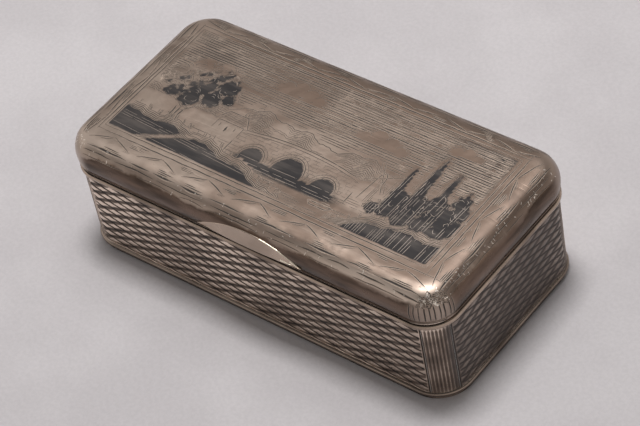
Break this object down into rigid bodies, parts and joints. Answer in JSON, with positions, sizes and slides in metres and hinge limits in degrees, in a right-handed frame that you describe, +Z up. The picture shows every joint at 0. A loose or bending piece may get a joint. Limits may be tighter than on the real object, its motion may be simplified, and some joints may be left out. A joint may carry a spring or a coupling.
{
  "type": "snuff box",
  "caption": "Small oblong silver snuff box with rounded reeded corners, engine-turned sides, a domed engraved lid on an integral back hinge and a crescent thumbpiece.",
  "frame": {"origin": "middle of the whole object's base, on the surface that the box stands on", "axes": "+X along the box to the right as seen from the front, -Y towards the front with the thumbpiece, +Y towards the hinge, +Z up"},
  "size_m": [0.0848, 0.043, 0.0261],
  "materials": {
    "turned_silver": "engine-turned silver, tarnished in the cuts",
    "silver": "worn plain silver, lightly tarnished",
    "lid_silver": "worn plain silver with fine scratches",
    "niello": "engraved silver with dark niello inlay",
    "gilt_silver": "worn gilding on silver",
    "pin": "drawn wire"
  },
  "bodies": {
    "box": {"box_wall": "turned_silver", "base_plate": "silver", "foot_moulding": "silver", "rim_moulding": "silver", "inner_bezel": "gilt_silver", "box_hinge_bearer": "silver", "box_knuckle_1": "silver", "box_knuckle_2": "silver", "box_knuckle_3": "silver", "box_knuckle_4": "silver", "box_knuckle_5": "silver", "hinge_pin": "pin", "hinge_plug_left": "silver", "hinge_plug_right": "silver"},
    "lid": {"lid_frame": "lid_silver", "lid_panel": "niello", "lid_edge_wire": "lid_silver", "lid_hinge_bearer": "silver", "lid_knuckle_1": "silver", "lid_knuckle_2": "silver", "lid_knuckle_3": "silver", "lid_knuckle_4": "silver", "thumbpiece": "lid_silver"}
  },
  "joints": [
    {"name": "lid_hinge", "type": "hinge", "parent": "box", "child": "lid", "pos_m": [0, 0.02005, 0.0196], "axis": [-1, 0, 0], "range_deg": [0, 105]}
  ]
}
